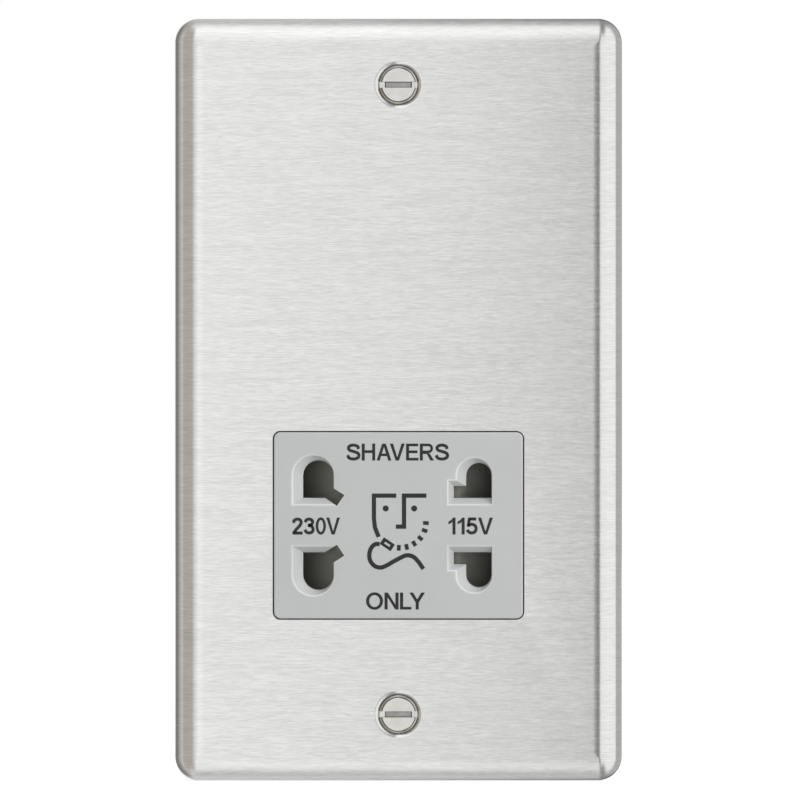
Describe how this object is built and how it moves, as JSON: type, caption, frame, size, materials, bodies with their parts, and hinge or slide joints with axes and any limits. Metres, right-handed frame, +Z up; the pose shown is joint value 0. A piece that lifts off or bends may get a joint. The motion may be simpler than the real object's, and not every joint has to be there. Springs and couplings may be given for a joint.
{
  "type": "shaver socket",
  "caption": "Dual-voltage shaver socket: brushed-steel wall plate, grey outlet panel with bevelled pin apertures and sliding interlock shutter, isolating transformer behind.",
  "frame": {"origin": "on the wall plane, midway between the two fixing screws", "axes": "+X to the right seen from the front, +Y into the wall, +Z up"},
  "size_m": [0.086, 0.0441, 0.1466],
  "materials": {
    "brushed_plate": "fine horizontal brushing",
    "plated_screw": "nickel plate",
    "zinc_steel": "bright zinc",
    "grey_panel": "fine matt",
    "body_grey": "fine matt",
    "shutter_grey": "matt",
    "housing_white": "fine matt",
    "carrier_black": "matt",
    "contact_bronze": "satin",
    "terminal_brass": "satin",
    "lamination": "varnished stack",
    "bobbin_nylon": "satin",
    "copper_winding": "enamelled wire",
    "cutout_case": "matt",
    "lead_mains": "smooth insulation",
    "lead_outlet": "smooth insulation",
    "lead_earth": "smooth insulation"
  },
  "bodies": {
    "socket": {"front_plate": "brushed_plate", "fixing_screws": "plated_screw", "outlet_panel": "grey_panel", "front_body": "body_grey", "shutter_spring_left": "zinc_steel", "shutter_spring_right": "zinc_steel", "contact_carrier": "carrier_black", "contact_230v_upper": "contact_bronze", "contact_230v_lower": "contact_bronze", "contact_115v_upper": "contact_bronze", "contact_115v_lower": "contact_bronze", "transformer_core": "lamination", "coil_bobbin": "bobbin_nylon", "primary_winding": "copper_winding", "secondary_winding": "copper_winding", "thermal_cutout": "cutout_case", "rear_housing": "housing_white", "live_terminal": "terminal_brass", "neutral_terminal": "terminal_brass", "earth_terminal": "terminal_brass", "earth_tag": "contact_bronze", "stud_clips": "zinc_steel", "primary_leads": "lead_mains", "secondary_leads": "lead_outlet", "earth_lead": "lead_earth"},
    "shutter": {"interlock_shutter": "shutter_grey"}
  },
  "joints": [
    {"name": "shutter_slide", "type": "slide", "parent": "socket", "child": "shutter", "axis": [1, 0, 0], "range_m": [-0.008, 0.008], "stiffness_N_per_m": 150, "deforming": ["shutter_spring_left", "shutter_spring_right"]}
  ]
}
